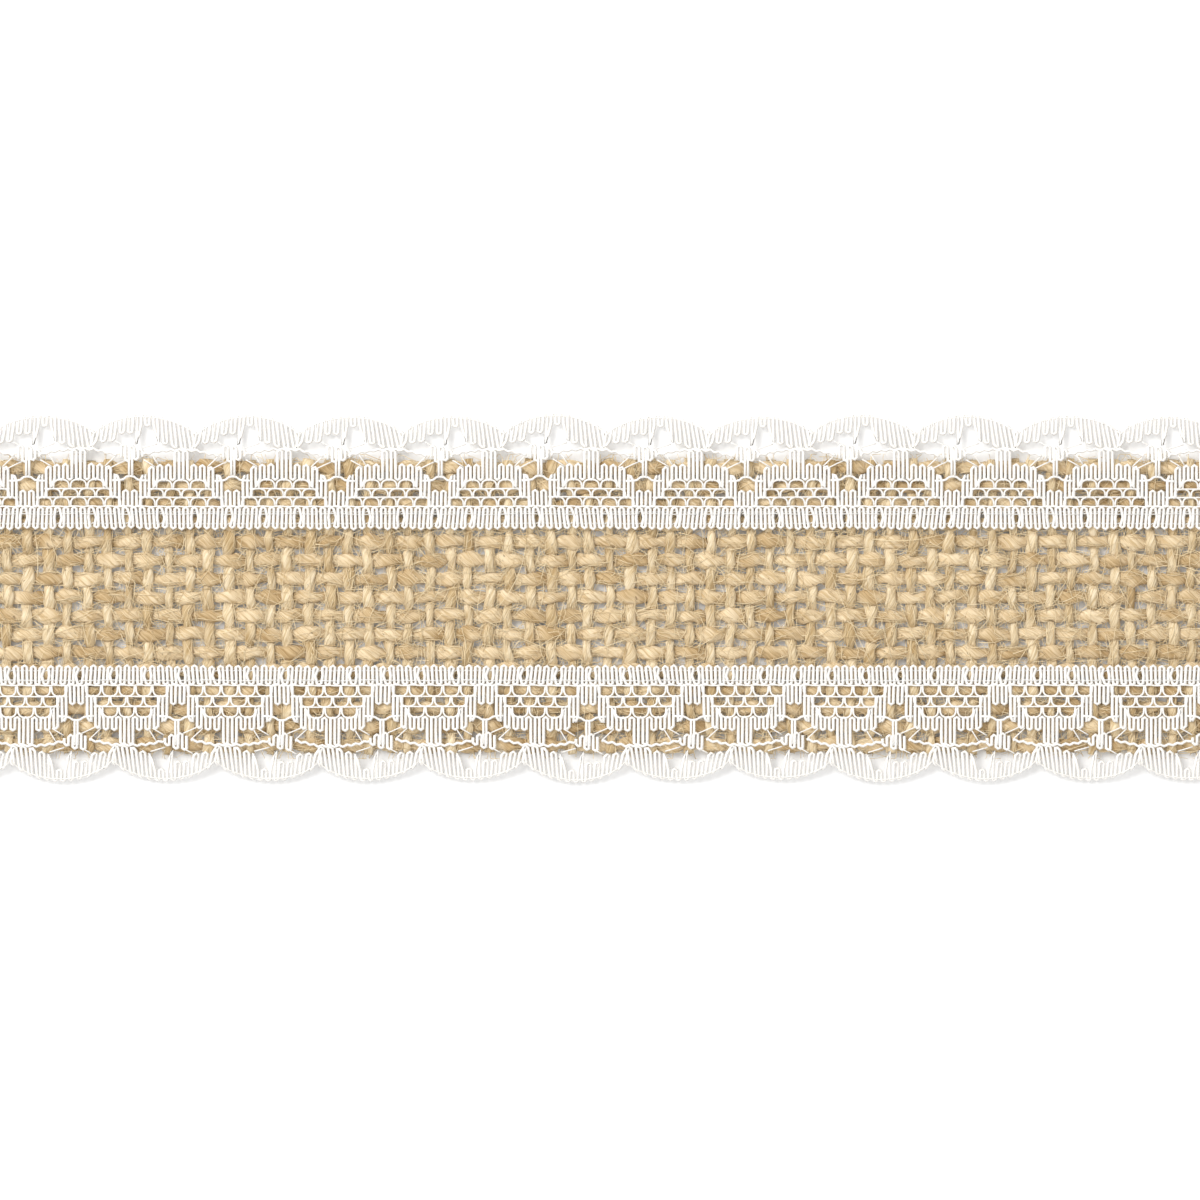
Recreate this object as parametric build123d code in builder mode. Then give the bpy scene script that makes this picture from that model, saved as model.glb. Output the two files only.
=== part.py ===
"""Lace-edged hessian table runner: an open plain weave of jute yarns with a knitted lace sewn along
each long edge. Millimetres. +X runs along the runner, +Y across it and +Z is up. The origin is on the
table, under the middle of the runner."""

import os
from math import pi

from build123d import *

# ---------------------------------------------------------------- driving dimensions
runner_length = 500.0
runner_width = 50.0  # over the lobes of both laces

cloth_shift = -1.2  # how far the cloth lies off the laces' centre line, along Y
warp_count = 16  # lengthwise yarns
warp_pitch = 2.5
warp_width = 1.2
warp_thickness = 0.6
weft_count = 184  # cross yarns
weft_width = 1.25
weft_thickness = 0.6
yarn_clearance = 0.05  # between yarns that cross
flat_width = 0.3  # of the flat under each cross yarn's middle

lace_width = 15.8
lace_thickness = 0.3
lace_clearance = 0.02  # between the cloth and the lace, and the lace and the thread on it
repeat_count = 36  # lobes of one lace over the runner's length
courses_per_repeat = 24  # rows of knitting in one repeat of the pattern
front_lace_phase = -1.5  # where the middle of one spider of the front lace lies along X
back_lace_phase = 5.9

thread_width = 0.24  # sewing thread
leg_width = 0.21  # of the thread's legs down through the lace
stitch_hole = 0.5
bobbin_height = 0.18  # the middle of the thread along the underside

# Where the lace's features lie: v is measured outwards from its straight edge and u along it from the
# middle of a spider.
net_lines = [2.7, 4.2, 5.6, 7.1]  # the three rows of the net lie between these
net_cells = [5, 4, 3]  # in each row of each net panel
strand = 0.35  # the net's strands
cut_margin = 0.3  # the least that is left between an opening and a cut end
net_middle = 6.95  # the middle of a panel
valley_line = 13.2  # between two lobes
lobe_middle = -1.95
# (u, v, width, height) of the openings around and below each spider
eyelet_opening = (-0.05, 6.25, 2.2, 1.6)
fan_openings = [(-3.6, 9.6, 4.0, 1.2), (3.3, 9.6, 4.4, 1.2)]
lobe_openings = [(-2.4, 13.1, 1.9, 2.2), (0.8, 12.5, 2.3, 1.0)]

# ---------------------------------------------------------------- worked out from them
weft_pitch = runner_length / weft_count
cloth_width = warp_count * warp_pitch
warp_bottom = weft_thickness + yarn_clearance
crimp_height = warp_thickness + 2 * yarn_clearance + weft_thickness  # a cross yarn's rise and fall
cloth_thickness = crimp_height + weft_thickness
lace_top = cloth_thickness + lace_clearance + lace_thickness
repeat = runner_length / repeat_count
course = repeat / courses_per_repeat
cell_width = 4 * course
straight_edge = runner_width / 2 - lace_width  # of each lace, from the laces' centre line

warp_places = [cloth_shift + (i - (warp_count - 1) / 2) * warp_pitch for i in range(warp_count)]
weft_places = [(i - (weft_count - 1) / 2) * weft_pitch for i in range(weft_count)]
stitch_places = [x + weft_pitch / 2 for x in weft_places[:-1]]  # in the gaps between cross yarns
front_seam = (warp_places[3] + warp_places[4]) / 2  # in gaps between warp yarns
back_seam = (warp_places[12] + warp_places[13]) / 2

os.makedirs("parts", exist_ok=True)


def save(shape, name):
    """Writes one node's STEP file and prints what it holds."""
    shape.label = name
    export_step(shape, f"parts/{name}.step")
    print(f"{name}: {len(shape.solids())} solids, {shape.volume:.0f} mm3")


# ---------------------------------------------------------------- hessian cloth
def make_warp_yarn(place):
    """One straight lengthwise yarn, flattened by the weaving."""
    with BuildPart() as yarn:
        with BuildSketch(Plane.YZ.offset(-runner_length / 2)):
            with Locations((place, warp_bottom + warp_thickness / 2)):
                Ellipse(warp_width / 2, warp_thickness / 2)
        extrude(amount=runner_length)
    return yarn.part


def crimp_points(first_over, lift):
    """The turning points of a cross yarn's crimp: over and under the warp yarns by turns, and half
    way between at the cloth's edges. lift raises them from its underside."""
    points = [(cloth_shift - cloth_width / 2, lift + crimp_height / 2)]
    for i, place in enumerate(warp_places):
        points.append((place, lift + (crimp_height if (i % 2 == 0) == first_over else 0)))
    points.append((cloth_shift + cloth_width / 2, lift + crimp_height / 2))
    return points


def make_weft_yarns(first_over):
    """Every second cross yarn: they are alike, and the ones between them take the other turns. A
    short level line under the middle warp yarn leaves a true flat there."""
    level = (1, 0)
    slope = (warp_pitch, (1 if first_over else -1) * crimp_height * pi / 2)
    middle = warp_count // 2 + 1
    with BuildPart() as yarn:
        with BuildSketch(Plane.YZ.offset(-weft_width / 2)):
            with BuildLine():
                underside = crimp_points(first_over, 0)
                place, height = underside[middle]
                flat = [(place - flat_width / 2, height), (place + flat_width / 2, height)]
                Spline(*underside[:middle], flat[0], tangents=[slope, level], tangent_scalars=[1, 1])
                Line(*flat)
                Spline(flat[1], *underside[middle + 1 :], tangents=[level, slope], tangent_scalars=[1, 1])
                top = crimp_points(first_over, weft_thickness)
                Line(underside[-1], top[-1])
                Spline(*top, tangents=[slope, slope], tangent_scalars=[1, 1])
                Line(top[0], underside[0])
            make_face()
        extrude(amount=weft_width)
    places = weft_places[0 if first_over else 1 :: 2]
    return Compound([yarn.part.solid().moved(Location((x, 0, 0))) for x in places])


# ---------------------------------------------------------------- lace
def along_lace(offset, pitch, start, end, margin):
    """The places of what repeats along a lace, kept a margin clear of its cut ends."""
    first = round((start - offset) / pitch)
    count = round((end - start) / pitch) + 2
    places = [offset + (first + i) * pitch for i in range(-1, count)]
    return [u for u in places if start + margin < u < end - margin]


def make_lace(plane, middle, seam_line):
    """One lace, in a plane whose X runs along it and whose Y points outwards. middle is where the
    runner's middle lies in that plane."""
    start, end = middle - runner_length / 2, middle + runner_length / 2
    with BuildPart() as lace:
        with BuildSketch(plane):
            with BuildLine():
                valleys = along_lace(lobe_middle + repeat / 2, repeat, start - repeat, end + repeat, 0)
                for left, right in zip(valleys, valleys[1:]):
                    ThreePointArc(
                        (left, valley_line), ((left + right) / 2, lace_width), (right, valley_line)
                    )
                Polyline(
                    (valleys[0], valley_line),
                    (valleys[0], 0),
                    (valleys[-1], 0),
                    (valleys[-1], valley_line),
                )
            make_face()
            with Locations((middle, lace_width / 2)):
                Rectangle(runner_length, lace_width, mode=Mode.INTERSECT)
            with Locations(*[(x + middle, seam_line) for x in stitch_places]):
                Circle(stitch_hole / 2, mode=Mode.SUBTRACT)
            openings = [eyelet_opening, *fan_openings, *lobe_openings]
            for row, cells in enumerate(net_cells):
                low, high = net_lines[row], net_lines[row + 1]
                for cell in range(cells):
                    u = net_middle + (cell - (cells - 1) / 2) * cell_width
                    openings.append((u, (low + high) / 2, cell_width - strand, high - low - strand))
            for u, v, width, height in openings:
                clear = width / 2 + cut_margin
                with Locations(*[(place, v) for place in along_lace(u, repeat, start, end, clear)]):
                    Ellipse(width / 2, height / 2, mode=Mode.SUBTRACT)
        extrude(amount=lace_thickness)
    return lace.part


# ---------------------------------------------------------------- seams
def make_needle_thread(seam):
    """The thread on the lace, with a leg down through each stitch hole and between the yarns."""
    thread_bottom = lace_top + lace_clearance
    leg_end = bobbin_height + thread_width / 2 + lace_clearance
    with BuildPart() as thread:
        with BuildSketch(Plane.XY.offset(thread_bottom)):
            with Locations((0, seam)):
                Rectangle(runner_length, thread_width)
        extrude(amount=thread_width)
        with BuildSketch(Plane.XY.offset(thread_bottom)):
            with Locations(*[(x, seam) for x in stitch_places]):
                Circle(leg_width / 2)
        extrude(amount=leg_end - thread_bottom)
    return thread.part


def make_bobbin_thread(seam):
    """The thread along the underside that the legs catch. It lies under the cross yarns' slopes."""
    with BuildPart() as thread:
        with BuildSketch(Plane.YZ.offset(-runner_length / 2)):
            with Locations((seam, bobbin_height)):
                Circle(thread_width / 2)
        extrude(amount=runner_length)
    return thread.part


for number, place in enumerate(warp_places, start=1):
    save(make_warp_yarn(place), f"warp_yarn_{number:02d}")
save(make_weft_yarns(True), "weft_yarns_odd")
save(make_weft_yarns(False), "weft_yarns_even")

front_plane = Plane((front_lace_phase, -straight_edge, lace_top), x_dir=(1, 0, 0), z_dir=(0, 0, -1))
back_plane = Plane((back_lace_phase, straight_edge, lace_top), x_dir=(-1, 0, 0), z_dir=(0, 0, -1))
save(make_lace(front_plane, -front_lace_phase, -front_seam - straight_edge), "front_lace")
save(make_lace(back_plane, back_lace_phase, back_seam - straight_edge), "back_lace")

for name, seam in (("front", front_seam), ("back", back_seam)):
    save(make_needle_thread(seam), f"{name}_needle_thread")
    save(make_bobbin_thread(seam), f"{name}_bobbin_thread")
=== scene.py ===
# %% [markdown]
# Lace-edged hessian table runner. The real one is an open plain weave of thick jute yarns, 40 mm wide,
# with a knitted cotton lace sewn flat along each long edge. Everything on it is thread, so nothing can be
# carved from a block: the cloth and the laces are built as tubes that follow the paths of real threads.

# %% Load the frame
import math

import bpy
import numpy as np
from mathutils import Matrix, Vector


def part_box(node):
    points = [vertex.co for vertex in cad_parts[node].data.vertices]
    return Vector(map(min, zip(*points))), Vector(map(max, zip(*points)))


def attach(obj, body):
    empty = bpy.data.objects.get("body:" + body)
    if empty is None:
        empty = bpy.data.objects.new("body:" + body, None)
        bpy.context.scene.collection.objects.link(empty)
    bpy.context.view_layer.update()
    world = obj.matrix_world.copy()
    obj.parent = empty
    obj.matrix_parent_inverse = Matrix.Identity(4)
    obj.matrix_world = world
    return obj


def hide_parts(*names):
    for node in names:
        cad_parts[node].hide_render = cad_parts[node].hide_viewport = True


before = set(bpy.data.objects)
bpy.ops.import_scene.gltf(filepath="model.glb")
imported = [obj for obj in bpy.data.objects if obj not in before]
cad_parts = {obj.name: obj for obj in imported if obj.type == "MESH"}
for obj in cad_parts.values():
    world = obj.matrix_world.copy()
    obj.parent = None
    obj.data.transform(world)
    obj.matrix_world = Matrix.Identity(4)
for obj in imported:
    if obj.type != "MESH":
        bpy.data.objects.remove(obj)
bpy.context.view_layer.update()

# %% [markdown]
# Sizes come first. The runner's length, the yarns' places and the laces' straight edges are read from the
# frame, and the rest are the thread sizes of the real cloth and lace, in millimetres.

# %% Sizes
MM = 0.001
rng = np.random.default_rng(11)


def span(node, axis):
    """The lowest and highest place of a node along an axis, in millimetres."""
    low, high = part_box(node)
    return low[axis] / MM, high[axis] / MM


runner_start, runner_end = span("warp_yarn_01", 0)
runner_length = runner_end - runner_start
warp_names = sorted(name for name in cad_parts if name.startswith("warp_yarn"))
warp_places = [sum(span(name, 1)) / 2 for name in warp_names]
warp_pitch = warp_places[1] - warp_places[0]
weft_count = 184
weft_pitch = runner_length / weft_count
cloth_edges = span("weft_yarns_odd", 1)
cloth_middle = 0.74  # height of the weave's middle plane
warp_rise, weft_rise = 0.27, 0.38  # how far each set of yarns waves up and down
warp_half, weft_half = (0.83, 0.33), (0.64, 0.34)  # half widths and half heights of the yarns
straight_edge, lobe_tips = span("back_lace", 1)  # of the back lace; the front one mirrors them
lace_width = lobe_tips - straight_edge
lace_height = 1.62  # the middle of the lace where it lies on the cloth
repeat_count = 36
repeat = runner_length / repeat_count
courses = 24  # rows of knitting in a repeat
course = repeat / courses
print(f"{runner_length:.0f} mm long, {len(warp_names)} warp yarns {warp_pitch:.2f} mm apart")

# %% [markdown]
# A thread is a tube along a line. One helper turns any number of lines into one closed mesh. It also lays
# a UV map along each thread, with its length in millimetres as U and the way round it as V, so that
# fibres can be painted along the yarn. Each thread starts at its own U, so no two look alike.

# %% Tubes along lines
def wobble(s, wave, seed):
    """A smooth random curve between about -1 and 1, with bumps about one wave long."""
    draw = np.random.default_rng(seed)
    total = np.zeros_like(s, dtype=float)
    for octave in (0.7, 1.0, 1.6):
        total += np.sin(2 * np.pi * s / (wave * octave) * draw.uniform(0.8, 1.2) + draw.uniform(0, 7))
    return total / 2


def around(line, wide, high):
    """Points beside a line: wide holds how far to its side they are and high how far above it."""
    along = np.gradient(line, axis=0)
    along /= np.linalg.norm(along, axis=1, keepdims=True)
    side = np.cross(along, (0, 0, 1))
    side /= np.maximum(np.linalg.norm(side, axis=1, keepdims=True), 1e-6)
    up = np.cross(side, along)
    return line[:, None] + side[:, None] * wide[..., None] + up[:, None] * high[..., None]


def tube(line, half_width, half_height, sides, lobes=0.0, twist=4.0):
    """Rings of points round a line. lobes raises two twisting ridges, as on a yarn of two strands."""
    line = np.asarray(line, float)
    steps = np.linalg.norm(np.diff(line, axis=0), axis=1)
    length = np.concatenate([[0], np.cumsum(steps)])
    angle = -np.pi / 2 + 2 * np.pi * np.arange(sides) / sides
    ridge = 1 + lobes * np.cos(2 * angle[None, :] - 2 * np.pi * length[:, None] / twist)
    wide = np.broadcast_to(half_width, len(line))[:, None] * np.cos(angle) * ridge
    high = np.broadcast_to(half_height, len(line))[:, None] * np.sin(angle) * ridge
    return around(line, wide, high), length + rng.uniform(0, 400)


def thread_mesh(name, tubes):
    """One object from many tubes, each closed at both ends."""
    points, corners, counts, uvs, base = [], [], [], [], 0
    for rings, length in tubes:
        n, sides = rings.shape[:2]
        i, k = np.meshgrid(np.arange(n - 1), np.arange(sides), indexing="ij")
        ring, round_it = i.ravel(), k.ravel()
        after = (round_it + 1) % sides
        quads = np.stack(
            [ring * sides + round_it, (ring + 1) * sides + round_it,
             (ring + 1) * sides + after, ring * sides + after], axis=1)
        corners += [(base + quads).ravel(), base + np.arange(sides),
                    base + (n - 1) * sides + np.arange(sides)[::-1]]
        counts += [np.full(len(quads), 4), np.array([sides, sides])]
        u = np.stack([length[ring], length[ring + 1], length[ring + 1], length[ring]], axis=1)
        v = np.stack([round_it, round_it, round_it + 1, round_it + 1], axis=1) / sides
        caps = np.stack([np.repeat([length[0], length[-1]], sides), np.tile(np.arange(sides) / sides, 2)], 1)
        uvs += [np.stack([u.ravel(), v.ravel()], axis=1), caps]
        points.append(rings.reshape(-1, 3))
        base += n * sides
    points, corners = np.concatenate(points) * MM, np.concatenate(corners)
    counts, uvs = np.concatenate(counts), np.concatenate(uvs)
    mesh = bpy.data.meshes.new(name)
    mesh.vertices.add(len(points))
    mesh.vertices.foreach_set("co", points.ravel())
    mesh.loops.add(len(corners))
    mesh.loops.foreach_set("vertex_index", corners.astype(np.int32))
    mesh.polygons.add(len(counts))
    mesh.polygons.foreach_set("loop_start", np.concatenate([[0], np.cumsum(counts)[:-1]]).astype(np.int32))
    mesh.polygons.foreach_set("use_smooth", np.ones(len(counts), bool))
    mesh.update(calc_edges=True)
    mesh.uv_layers.new(name="along_thread").data.foreach_set("uv", uvs.ravel())
    mesh.validate()
    piece = bpy.data.objects.new(name, mesh)
    bpy.context.scene.collection.objects.link(piece)
    print(f"{name}: {len(tubes)} threads, {sum(counts - 2)} triangles")
    return piece

# %% [markdown]
# The camera looks straight down, from far enough that the picture hardly has perspective, and frames the
# middle of the runner so that both ends run out of view.

# %% Camera
view_width = 162.6
view_distance = 1200.0
view_aside = -0.34  # along Y
sensor_width = 36
bpy.ops.object.camera_add(location=(0, view_aside * MM, view_distance * MM), rotation=(0, 0, 0))
camera = bpy.context.object
camera.data.sensor_width = sensor_width
camera.data.lens = sensor_width * view_distance / view_width
camera.data.clip_start, camera.data.clip_end = 0.01, 20
bpy.context.scene.camera = camera

# %% [markdown]
# A white table, lit from all round by a white room and from the far left by a large lamp. The lamp's light
# slants, so each yarn has a bright side and a shaded one, and the lobes throw a soft shadow on the table.

# %% Floor and light
bpy.ops.object.select_all(action="DESELECT")
bpy.ops.mesh.primitive_plane_add(size=6, location=(0, 0, 0))
floor = bpy.context.object
floor.name = "floor"
bpy.ops.object.light_add(type="AREA", location=(-1.15, 0.95, 1.45))
lamp = bpy.context.object
lamp.rotation_euler = (-lamp.location).to_track_quat("-Z", "Y").to_euler()
lamp.data.size = 1.1
lamp.data.energy = 31
world = bpy.data.worlds.new("white_room")
world.use_nodes = True
world.node_tree.nodes["Background"].inputs["Color"].default_value = (1, 1, 1, 1)
world.node_tree.nodes["Background"].inputs["Strength"].default_value = 0.88
bpy.context.scene.world = world
bpy.context.scene.view_settings.view_transform = "Standard"
print("lamp", lamp.data.energy, "W")

# %% [markdown]
# Hessian is a plain weave: every yarn goes over one and under the next. Warp and weft both bend, the weft
# more, since the loom keeps the warp tight. A modifier could bend a straight tube, but spun jute is also
# thick and thin, so the path of each yarn is a function that gives its line and its width at any place.

# %% Paths of the yarns
first_weft = runner_start + weft_pitch / 2


def warp_path(j, x):
    """The middle line of warp yarn j at the places x, its half widths and its half heights."""
    over = -(-1) ** j * np.cos(np.pi * (x - first_weft) / weft_pitch)  # 1 on a weft, -1 under one
    y = warp_places[j] + 0.13 * wobble(x, 14, 100 + j) + 0.07 * wobble(x, 3.1, 200 + j)
    swell = 1 + 0.15 * wobble(x, 9, 300 + j) + 0.14 * wobble(x, 2.4, 400 + j)
    line = np.stack([x, y, cloth_middle + warp_rise * over], axis=1)
    return line, warp_half[0] * swell * (1 + 0.13 * over), warp_half[1] * (0.5 + 0.5 * swell)


weft_places = first_weft + weft_pitch * np.arange(weft_count) + rng.normal(0, 0.13, weft_count)
weft_sizes = rng.uniform(0.82, 1.22, weft_count)


def weft_path(i, y):
    """The same for weft yarn i at the places y."""
    over = (-1) ** i * np.cos(np.pi * (y - warp_places[0]) / warp_pitch)
    x = weft_places[i] + 0.16 * wobble(y, 17, 1000 + i) + 0.07 * wobble(y, 3.4, 2000 + i)
    x = np.clip(x, runner_start + 0.6, runner_end - 0.6)
    swell = weft_sizes[i] * (1 + 0.13 * wobble(y, 8, 3000 + i) + 0.11 * wobble(y, 2.0, 4000 + i))
    half_height = np.minimum(weft_half[1] * swell, cloth_middle - weft_rise)
    return np.stack([x, y, cloth_middle + weft_rise * over], axis=1), weft_half[0] * swell, half_height


# %% [markdown]
# The lengthwise yarns run from end to end, each its own piece, as they'd pull out of the cloth one by one.
# Each is a flattened tube of ten sides, with two low ridges winding along it like the strands of a yarn.

# %% Warp yarns
yarn_sides = 10
steps_per_float = 6  # rings of a yarn from one crossing to the next
warp_pieces = []
for j, name in enumerate(warp_names):
    x = np.linspace(runner_start, runner_end, steps_per_float * weft_count + 1)
    line, half_width, half_height = warp_path(j, x)
    yarn = thread_mesh(name.replace("warp_yarn", "jute_warp"),
                       [tube(line, half_width, half_height, yarn_sides, lobes=0.12, twist=4.6)])
    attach(yarn, "root")
    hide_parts(name)
    warp_pieces.append(yarn)

# %% [markdown]
# The cross yarns are cut at the cloth's edges. Neighbours take opposite turns, so they make two sets.

# %% Weft yarns
ragged_edge = 0.35  # the most that a cut falls short of the cloth's edge
weft_pieces = []
for start, node in ((0, "weft_yarns_odd"), (1, "weft_yarns_even")):
    tubes = []
    for i in range(start, weft_count, 2):
        y = np.linspace(*cloth_edges, steps_per_float * len(warp_places) + 1)
        y[[0, -1]] += rng.uniform(-ragged_edge, 0.0, 2) * (-1, 1)
        line, half_width, half_height = weft_path(i, y)
        tubes.append(tube(line, half_width, half_height, yarn_sides, lobes=0.11, twist=4.2))
    piece = thread_mesh(node.replace("weft_yarns", "jute_wefts"), tubes)
    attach(piece, "root")
    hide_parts(node)
    weft_pieces.append(piece)

# %% [markdown]
# Spun jute is hairy. Most fibres wind round their yarn and then peel away from it, short fluff fills the
# openings of the weave, and a few long fibres lie across the cloth. Each is a thin three-sided tube, light
# enough to have thousands. A particle system would grow them too, but they would stand up like fur.

# %% Loose fibres
peeling_count = 6800  # on the warp yarns, and again on the weft yarns
fluff_count = 12000  # in each of two pieces
stray_count = 320
lowest_fibre, highest_fibre = 0.06, 1.85
highest_under_lace = 1.42
fray = 0.6  # how far fibres stand out past the cloth's edges


def lay_fibre(points, least, most):
    """A fibre through the points, kept between the table and what covers the cloth."""
    under_lace = np.abs(points[:, 1]) > straight_edge - 0.3
    highest = np.where(under_lace, highest_under_lace, highest_fibre)
    points[:, 2] = np.clip(points[:, 2], lowest_fibre, highest)
    points[:, 0] = np.clip(points[:, 0], runner_start, runner_end)
    points[:, 1] = np.clip(points[:, 1], cloth_edges[0] - fray, cloth_edges[1] + fray)
    radius = rng.uniform(least, most) * np.linspace(1, 0.6, len(points))
    return tube(points, radius, radius, 3)


def peeling_fibre(path, place):
    """A fibre that starts on a yarn's skin, winds round it and comes away from it."""
    down = np.linspace(0, 1, 5)
    s = place + rng.choice([-1, 1]) * rng.uniform(2.0, 6.0) * down
    line, half_width, half_height = path(s)
    angle = rng.uniform(0.0, 1.0) * np.pi + rng.uniform(-1.5, 1.5) * down
    off = 1.04 + rng.uniform(0, 2.2) * down ** 2
    height = 1.06 + rng.uniform(0, 0.7) * down ** 2
    points = around(line, (half_width * off * np.cos(angle))[:, None],
                    (half_height * height * np.sin(angle))[:, None])[:, 0]
    return lay_fibre(points, 0.040, 0.068)


def slanting_fibre(steps, slant, length, bend, height):
    """A bent fibre somewhere on the cloth, at a slant to the warp."""
    down = np.linspace(-0.5, 0.5, steps)
    along, aside = length * down, bend * (down ** 2 - 0.1) * 4
    x = rng.uniform(runner_start, runner_end) + along * np.cos(slant) - aside * np.sin(slant)
    y = rng.uniform(*cloth_edges) * 0.97 + along * np.sin(slant) + aside * np.cos(slant)
    return np.stack([x, y, height + 0.15 * np.cos(7 * down + bend)], axis=1)


fibres = {"warp_fibres": [], "weft_fibres": [], "fluff_01": [], "fluff_02": []}
for j in rng.integers(0, len(warp_names), peeling_count):
    place = rng.uniform(runner_start, runner_end)
    fibres["warp_fibres"].append(peeling_fibre(lambda x: warp_path(j, x), place))
for i in rng.integers(0, weft_count, peeling_count):
    place = rng.uniform(*cloth_edges)
    fibres["weft_fibres"].append(peeling_fibre(lambda y: weft_path(i, y), place))
for name in ("fluff_01", "fluff_02"):
    for _ in range(fluff_count):
        slant = rng.choice([0, np.pi / 2]) + rng.normal(0, 0.55)
        curl = slanting_fibre(3, slant, rng.uniform(2.0, 4.6), rng.normal(0, 0.5), rng.uniform(0.6, 1.4))
        fibres[name].append(lay_fibre(curl, 0.034, 0.060))
for _ in range(stray_count):
    curl = slanting_fibre(7, rng.uniform(0, np.pi), rng.uniform(5, 15), rng.normal(0, 1.2), 1.55)
    fibres["weft_fibres"].append(lay_fibre(curl, 0.04, 0.06))
fibre_pieces = []
for name, tubes in fibres.items():
    piece = thread_mesh(f"jute_{name}", tubes)
    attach(piece, "root")
    fibre_pieces.append(piece)

# %% [markdown]
# The lace is knitted lengthwise: each row of knitting is one stroke of thread across it, and there are 24
# rows in a repeat. Dense places are strokes side by side, and the net is pairs of thin legs hung between
# sagging chains. u runs along the lace from the middle of a spider, and v outwards from the straight edge.
# The back lace is the same lace turned half round, so one function lays both.

# %% Where the lace lies
lobe_middle = -1.95  # along u
net_middle = repeat / 2
end_margin = 0.25  # the lace's threads stop this far inside the runner's ends


class Lace:
    """Turns a lace's own (u, v, height) into places on the runner."""

    sag = 0.75  # how far the lobes hang below the cloth's top

    def __init__(self, name, sign, phase, lines_from, lines_to, cloth_edge, seed):
        self.name, self.sign, self.phase, self.seed = name, sign, phase, seed
        self.lines_from, self.lines_to = lines_from, lines_to  # how its rows are stretched across
        self.overhang = cloth_edge - straight_edge

    def lay(self, u, v, height=0.0):
        """Points on the runner. Slow wobbles pull the lace about a little, as sewing does."""
        x = self.phase - self.sign * u
        v = np.interp(v, self.lines_from, self.lines_to)
        pull = 0.16 * wobble(x, 31, self.seed) * np.clip(v / lace_width, 0.2, 1)
        slide = 0.22 * wobble(x, 47, self.seed + 1) * np.sin(np.pi * v / lace_width)
        droop = np.clip((v - self.overhang + 0.6) / 4.0, 0, 1) ** 1.5 * self.sag
        waves = 0.10 * wobble(x, 11, self.seed + 2) * np.clip(v / lace_width, 0.3, 1)
        z = lace_height + height + waves - droop
        return np.stack([x + slide, self.sign * (straight_edge + v + pull), z + 0 * x], axis=1)

    def tubes(self, u, v, width, height=0.0, flat=0.72, sides=4):
        """The thread along (u, v), cut off at the runner's ends."""
        line = self.lay(np.asarray(u, float), np.asarray(v, float), height)
        inside = np.abs(line[:, 0]) < runner_end - end_margin
        runs = np.split(np.arange(len(line)), np.flatnonzero(np.diff(inside.astype(int))) + 1)
        return [tube(line[run], width, width * flat, sides) for run in runs
                if inside[run[0]] and len(run) > 2]


laces = [
    Lace("front", sign=-1, phase=-1.5, lines_from=[0, 15.8], lines_to=[0, 15.6],
         cloth_edge=-cloth_edges[0], seed=51),
    Lace("back", sign=1, phase=5.9, lines_from=[0, 2.7, 7.1, 8.9, 15.8],
         lines_to=[0, 3.1, 6.7, 8.8, 15.5], cloth_edge=cloth_edges[1], seed=77),
]


def strokes(places, low, high, bow=None):
    """A thread that runs to and fro across the lace, one stroke at each place, round where it turns.
    bow(u, v) moves points of it along the lace."""
    u, v = [], []
    for i, (place, a, b) in enumerate(zip(places, low, high)):
        if i % 2:
            a, b = b, a
        turn = math.copysign(min(0.3 * course, 0.3 * abs(b - a)), b - a)
        u += [place, place, place]
        v += [a + turn, (a + b) / 2, b - turn]
        if i + 1 < len(places):
            u.append((place + places[i + 1]) / 2)
            v.append((b + (high, low)[i % 2][i + 1]) / 2)
    u, v = np.array(u), np.array(v)
    return (u + bow(u, v), v) if bow else (u, v)


def in_repeat(u, middle=0.0):
    """u measured from the nearest repeat's middle."""
    return (u - middle + repeat / 2) % repeat - repeat / 2


rows = (repeat_count // 2 + 1) * courses  # from the middle to past either end
places = (np.arange(-rows, rows) + 0.5) * course
spiders = np.arange(-repeat_count // 2 - 1, repeat_count // 2 + 2) * repeat

# %% [markdown]
# The heading is the band that is sewn down. Its strokes lean away from a small eyelet every eighth row.

# %% Heading
heading_edge = 2.62
stroke_half = 0.215  # half the width of a stroke
eyelet_pitch = 8 * course


def heading(lace):
    """The band of strokes, and two waving threads that run along under it."""
    swell = 0.10 * np.cos(2 * np.pi * places / eyelet_pitch)

    def part(u, v):
        """How far the strokes lean, and how they part round each eyelet."""
        off = (u - 0.4 + eyelet_pitch / 2) % eyelet_pitch - eyelet_pitch / 2
        lean = 0.10 * np.sin(2 * np.pi * u / 31) * (v - 1.4)
        return lean + 0.34 * np.sign(off) * np.exp(-(off / 0.5) ** 2) * np.exp(-((v - 1.5) / 0.45) ** 2)

    band = strokes(places, 0.12 + swell, np.full_like(places, heading_edge), part)
    threads = lace.tubes(*band, stroke_half)
    for line in (0.7, 2.1):
        threads += lace.tubes(places, line + 0.12 * np.sin(np.pi * places / course), 0.085, -0.13)
    return threads


# %% [markdown]
# Outside the heading comes the net, three rows of rounded cells that lose a cell each, under a solid arch.
# The arch ends on a short stem. Between stems hangs the spider: an eyelet, a chain that dips under it, a
# ray of two strokes, a body, and fine threads that tie it to the arches.

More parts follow.
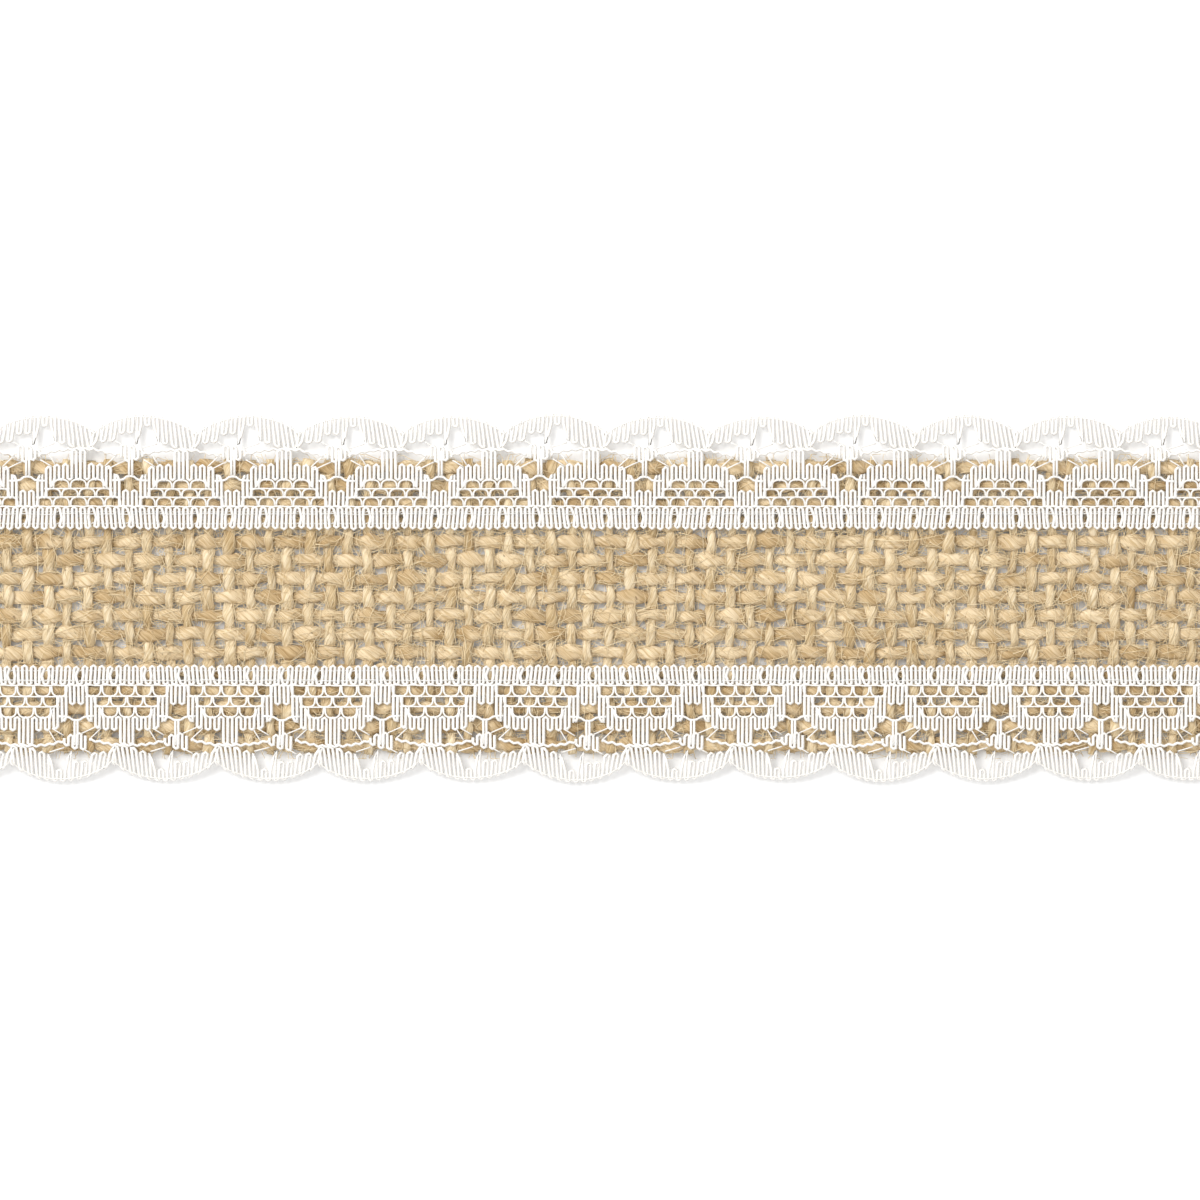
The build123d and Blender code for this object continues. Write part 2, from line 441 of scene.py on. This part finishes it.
# %% Net, arches and spiders
net_lines = [2.7, 4.2, 5.6, 7.1]
net_cells = [5, 4, 3]
cell = 4 * course
arch_steps = [1.6, 2.75, 3.75]  # how far from the spider's middle each row of net begins
column = [(1.15, 5.3), (1.25, 6.95), (2.0, 7.9), (2.6, 8.5), (3.5, 8.8), (5.6, 8.9), (5.75, 10.8),
          (7.0, 10.85)]  # the arch's and the stem's outer ends, by the distance from a spider
dipping_chain = [(-2.5, 6.95), (-1.2, 7.0), (-0.45, 7.5), (0.35, 7.5), (1.1, 7.0), (2.4, 6.95)]
body_top = [9.75, 9.6, 9.45, 9.35, 9.25, 9.45]
body_foot = [10.8, 11.05, 11.3, 11.45, 11.5, 11.55]
ties = [((-3.4, 8.6), (-1.8, 9.55)), ((-3.8, 8.9), (-2.9, 10.35)), ((3.2, 8.2), (0.7, 9.3)),
        ((3.4, 8.6), (1.8, 10.1)), ((-3.7, 11.8), (-1.7, 11.2)), ((1.0, 11.5), (2.0, 12.05))]


def net(lace, centre):
    """The rows of cells under one arch. Each cell is a thread that goes down, along and up again."""
    threads = []
    for row, cells in enumerate(net_cells):
        top, depth = net_lines[row], net_lines[row + 1] - net_lines[row] + 0.04
        for place in (np.arange(cells) - (cells - 1) / 2) * cell:
            turn = np.linspace(-1, 1, 9) * np.pi / 2
            out = np.sign(turn) * np.abs(np.sin(turn)) ** 0.75 * (cell / 2 - 0.09)
            threads += lace.tubes(centre + place + out, top + depth * np.cos(turn) ** 0.55, 0.135, -0.02)
        if row < 2:
            across = np.linspace(-cells / 2, cells / 2, 2 * cells + 1)
            threads += lace.tubes(centre + across * cell, top + depth + 0.02 + 0 * across, 0.10, 0.05)
    return threads


def ground(lace):
    """Everything between the heading and the edging."""
    away = np.abs(in_repeat(places))
    low = np.select([away < step for step in arch_steps], net_lines[:3], net_lines[3])
    threads = lace.tubes(*strokes(places, low, np.interp(away, *zip(*column))), stroke_half)
    threads += lace.tubes(places, 2.72 + 0.05 * np.sin(2 * np.pi * places / cell), 0.11, 0.06)
    for spider in spiders:
        threads += net(lace, spider + net_middle)
        body = spider - 0.25 + np.arange(-2.5, 3) * course
        threads += lace.tubes(*strokes(body, body_top, body_foot), stroke_half)
        for ray in (-0.3, 0.12):
            threads += lace.tubes(spider + np.array([ray, ray, ray + 0.03]), [7.45, 9.0, 10.9], 0.17, 0.05)
        bend = np.linspace(dipping_chain[0][0], dipping_chain[-1][0], 11)
        threads += lace.tubes(spider + bend, np.interp(bend, *zip(*dipping_chain)), 0.16, 0.05)
        for (u0, v0), (u1, v1) in ties:
            down = np.linspace(0, 1, 4)
            threads += lace.tubes(spider + u0 + (u1 - u0) * down, v0 + (v1 - v0) * down, 0.09, 0.0, 1.0)
    return threads


# %% [markdown]
# The edging hangs from a waving chain. Its strokes fan out into lobes, with a long and a short opening in
# each, and the row of turned ends along the lobes is the lace's outer edge.

# %% Chain and lobes
valley_line, lobe_depth = 13.2, 2.6
chain_break = 1.5  # how far the chain is left out on either side of a spider's middle
openings = [(-6.95, 11.05), (-3.65, 11.1), (-3.5, 11.75), (-1.55, 11.9), (-1.4, 14.2), (0.5, 14.3),
            (0.65, 11.5), (1.35, 11.5), (1.5, 13.2), (3.85, 13.1), (4.0, 12.0), (6.6, 11.9), (6.8, 11.1),
            (6.95, 11.05)]
chain_points = [(-6.95, 10.95), (-5.4, 10.95), (-3.6, 10.75), (-2.0, 10.35), (1.6, 10.2), (3.0, 10.45),
                (4.9, 10.9), (6.95, 10.95)]


def lobe_edge(u):
    """Where the outer edge of the lobes lies."""
    return valley_line + lobe_depth * (1 - (in_repeat(u, lobe_middle) / (repeat / 2)) ** 2) ** 0.7


def edging(lace):
    """The lobes' strokes, the edge that ties their ends, and the chain."""
    inner = np.interp(in_repeat(places, lobe_middle), *zip(*openings))

    def fan(u, v):
        """Spreads a lobe's strokes apart."""
        return 0.21 * (13.4 - v) * in_repeat(u, lobe_middle) / (repeat / 2)

    threads = lace.tubes(*strokes(places, inner, lobe_edge(places), fan), stroke_half, -0.02)
    threads += lace.tubes(places, lobe_edge(places) - 0.30, 0.09, 0.08)
    fine = np.arange(places[0], places[-1], course / 2)
    chain = np.interp(in_repeat(fine), *zip(*chain_points)) + 0.12 * np.sin(np.pi * fine / course)
    hidden = np.abs(in_repeat(fine)) < chain_break
    for run in np.split(np.arange(len(fine)), np.flatnonzero(np.diff(hidden.astype(int))) + 1):
        if not hidden[run[0]]:
            threads += lace.tubes(fine[run], chain[run], 0.18, 0.06)
    return threads


# %% [markdown]
# Heading, net and edging are knitted together, so each lace is one piece of fabric and one mesh.

# %% Laces
lace_pieces = {}
for lace in laces:
    piece = thread_mesh(f"{lace.name}_lace_knit", heading(lace) + ground(lace) + edging(lace))
    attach(piece, "root")
    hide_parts(f"{lace.name}_lace")
    lace_pieces[lace.name] = piece

# %% [markdown]
# A fine white lockstitch holds each heading down. Its upper thread lies on the lace and dives through it
# in every gap between cross yarns, and the lower one runs along the underside.

# %% Seams
seam_margin = 0.1
dive_share = 0.14  # of the stitch length, on either side of a stitch hole
seam_pieces = {}
for lace in laces:
    for kind, height, dive in (("needle", lace_height + 0.17, -0.75), ("bobbin", 0.2, 0.55)):
        node = f"{lace.name}_{kind}_thread"
        seam = sum(span(node, 1)) / 2
        x = np.linspace(runner_start + seam_margin, runner_end - seam_margin, 8 * weft_count + 1)
        gap = (x - runner_start) / weft_pitch % 1
        z = height + dive * np.clip(1 - np.minimum(gap, 1 - gap) / dive_share, 0, 1)
        y = seam + 0.06 * wobble(x, 9, lace.seed + 9)
        stitches = tube(np.stack([x, y, z], 1), 0.07, 0.06, 5)
        piece = seam_pieces[node] = thread_mesh(f"{lace.name}_{kind}_seam", [stitches])
        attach(piece, "root")
        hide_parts(node)

# %% [markdown]
# Materials are node trees, and their sums are easier to read as Python. Value wraps one socket: arithmetic
# on it adds Math nodes, and its node method adds any other node.

# %% Shader expressions
class Value:
    """A socket of a material that Python's operators work on."""

    def __init__(self, tree, socket=None):
        self.tree, self.socket = tree, socket

    def node(self, kind, settings, sockets, result=0):
        """Adds a node: first its settings, then its sockets' values or links."""
        added = self.tree.nodes.new("ShaderNode" + kind)
        for name, setting in settings.items():
            setattr(added, name, setting)
        for name, value in sockets.items():
            if isinstance(value, Value):
                self.tree.links.new(value.socket, added.inputs[name])
            else:
                added.inputs[name].default_value = value
        return Value(self.tree, added.outputs[result])

    def maths(self, operation, first, second):
        """A Math node on two values."""
        return self.node("Math", {"operation": operation}, {0: first, 1: second})

    def __add__(self, other):
        return self.maths("ADD", self, other)

    def __sub__(self, other):
        return self.maths("SUBTRACT", self, other)

    def __rsub__(self, other):
        return self.maths("SUBTRACT", other, self)

    def __mul__(self, other):
        return self.maths("MULTIPLY", self, other)

    __radd__, __rmul__ = __add__, __mul__

    def ramp(self, low, high):
        """0 below low, 1 above high, and smooth between them."""
        return self.node("MapRange", {"interpolation_type": "SMOOTHSTEP"},
                         {"Value": self, "From Min": low, "From Max": high})

    def noise(self, detail=2.0, **place):
        """Noise at a place given as X, Y and Z."""
        spot = self.node("CombineXYZ", {}, place)
        return self.node("TexNoise", {}, {"Vector": spot, "Scale": 1.0, "Detail": detail})

    def between(self, first, second):
        """A colour between two, as far along as this value."""
        return self.node("Mix", {"data_type": "RGBA"}, {0: self, 6: first, 7: second}, result=2)


def new_material(name):
    """A material, its shader, the millimetres along its threads and the turns round them."""
    material = bpy.data.materials.new(name)
    material.use_nodes = True
    tree = material.node_tree
    start = Value(tree)
    place = start.node("SeparateXYZ", {}, {"Vector": start.node("UVMap", {"uv_map": "along_thread"}, {})})
    return material, tree.nodes["Principled BSDF"], place, Value(tree, place.socket.node.outputs["Y"])


def feed(shader, **values):
    """Links values to a shader's sockets; base_color stands for Base Color."""
    for name, value in values.items():
        value.tree.links.new(value.socket, shader.inputs[name.replace("_", " ").title()])

# %% [markdown]
# Jute is a bundle of stiff straw-coloured fibres. Noise that is stretched along the yarn and slants with its
# twist gives them, in the colour and as relief. Slower noise makes pale and brown stretches, and a rare
# dark fleck is a bit of bark.

# %% Jute


def jute(name, twist, depth, pale, straw, brown):
    """Spun jute. twist is how many turns its fibres make in a millimetre, and depth is the relief's."""
    material, shader, along, turn = new_material(name)
    spun = turn + along * twist
    strands = along.noise(detail=3.0, X=along * 0.22, Y=spun * 11, Z=3.0)
    hairs = along.noise(detail=2.0, X=along * 0.5, Y=spun * 34, Z=9.0)
    stretches = along.noise(detail=2.0, X=along * 0.16, Y=turn * 0.8, Z=17.0)
    flecks = along.noise(detail=1.0, X=along * 1.3, Y=spun * 9, Z=29.0).ramp(0.70, 0.76)
    tone = (strands * 0.5 + hairs * 0.5).ramp(0.39, 0.60)
    warm = stretches.ramp(0.42, 0.66)
    colour = tone.between(warm.between(straw, brown), warm.between(pale, straw))
    bark = (0.16, 0.09, 0.04, 1)
    colour = (flecks * 0.6).between(colour, bark)
    relief = strands * 0.65 + hairs * 0.35
    feed(shader, base_color=colour, roughness=0.92 - tone * 0.26,
         normal=relief.node("Bump", {}, {"Strength": 1.0, "Distance": depth * MM, "Height": relief}))
    shader.inputs["Specular IOR Level"].default_value = 0.35
    shader.inputs["Sheen Weight"].default_value = 0.12
    return material


yarn_relief, hair_relief = 0.4, 0.01  # thin hairs come out dark under a yarn's deep relief
warp_jute = jute("warp_jute", 0.16, yarn_relief, pale=(0.85, 0.69, 0.46, 1),
                 straw=(0.61, 0.44, 0.235, 1), brown=(0.38, 0.24, 0.10, 1))
weft_jute = jute("weft_jute", 0.12, yarn_relief, pale=(0.87, 0.73, 0.51, 1),
                 straw=(0.64, 0.48, 0.265, 1), brown=(0.41, 0.27, 0.12, 1))
hair_jute = jute("hair_jute", 0.0, hair_relief, pale=(0.90, 0.77, 0.53, 1),
                 straw=(0.76, 0.59, 0.34, 1), brown=(0.54, 0.37, 0.17, 1))
for pieces, material in ((warp_pieces, warp_jute), (weft_pieces, weft_jute), (fibre_pieces, hair_jute)):
    for piece in pieces:
        piece.data.materials.append(material)
print("jute on", len(warp_pieces + weft_pieces + fibre_pieces), "pieces")

# %% [markdown]
# The lace is soft white cotton. Its plies show as slanting ridges with painted shade between them, and
# knitting leaves it slightly uneven. The seams are in the same white, but in a finer and shinier thread.

# %% Cotton and sewing thread


def white_thread(name, ply, twist, white, shade, roughness):
    """A plied white thread. ply is how many ridges go round it, and twist the turns in a millimetre."""
    material, shader, along, turn = new_material(name)
    ridge = along.maths("SINE", (turn + along * twist) * (2 * math.pi * ply), 0.0)
    fuzz = along.noise(detail=3.0, X=along * 2.5, Y=turn * 9, Z=5.0)
    uneven = along.noise(detail=1.0, X=along * 0.35, Y=turn * 0.5, Z=13.0)
    # painted shade in the grooves between the plies, mixed with a random unevenness of tone
    shade_and_unevenness = (ridge * -0.18 + fuzz * 0.5 + uneven * 0.5 - 0.2).ramp(0.15, 0.62)
    relief = ridge * 0.35 + fuzz * 0.65
    feed(shader, base_color=shade_and_unevenness.between(white, shade), roughness=roughness + fuzz * 0.2,
         normal=relief.node("Bump", {}, {"Strength": 0.5, "Distance": 0.06 * MM, "Height": relief}))
    shader.inputs["Sheen Weight"].default_value = 0.1
    return material


# the second colour of each thread is its painted shade between the plies, also used for its uneven patches
cotton = white_thread("cotton", 2, 1.1, (0.95, 0.925, 0.885, 1), (0.87, 0.84, 0.79, 1), 0.70)
sewing_thread = white_thread("sewing_thread", 3, 2.2, (0.93, 0.92, 0.90, 1), (0.78, 0.75, 0.70, 1), 0.42)
for piece in lace_pieces.values():
    piece.data.materials.append(cotton)
for piece in seam_pieces.values():
    piece.data.materials.append(sewing_thread)
print("cotton on", len(lace_pieces), "laces, thread on", len(seam_pieces), "seams")

# %% [markdown]
# The table is matt white. It has no UV map of its own, so its faint unevenness follows Object coordinates.

# %% Table
table_white = bpy.data.materials.new("table_white")
table_white.use_nodes = True
surface = Value(table_white.node_tree)
spot = surface.node("TexCoord", {}, {}, result=3)
cloudy = spot.node("TexNoise", {}, {"Vector": spot, "Scale": 60.0, "Detail": 4.0})
feed(table_white.node_tree.nodes["Principled BSDF"], roughness=0.7 + cloudy * 0.2,
     base_color=cloudy.between((0.94, 0.94, 0.94, 1), (0.96, 0.96, 0.96, 1)))
floor.data.materials.append(table_white)

# %% [markdown]
# A lace is cut with lobes, so its flat area is what lies inside its outline. The hessian is many yarns, and
# only one mesh can be declared, so it is declared on one set of cross yarns. The hessian's area isn't its
# full rectangle either: it is worked out for one set of cross yarns alone, each pressed flat to half its
# girth.

# %% Sheets


def covered(piece):
    """Half of a mesh's surface, in square metres."""
    return sum(face.area for face in piece.data.polygons) / 2


cloth_width = (cloth_edges[1] - cloth_edges[0]) * MM
length = runner_length * MM
half_girth = np.pi * np.hypot(*weft_half) / np.sqrt(2) * MM
crimp = 1 + (np.pi * weft_rise / warp_pitch) ** 2 / 4  # a waving yarn's length over its span
yarn_area = float(weft_count / 2 * half_girth * crimp * cloth_width)
outline = lobe_edge(np.linspace(-repeat / 2, repeat / 2, 201)[:-1])
lace_area = float(outline.mean() * MM * length)
for name, piece in lace_pieces.items():
    print(name, "lace's threads", round(covered(piece), 5), "in an outline of", round(lace_area, 5))
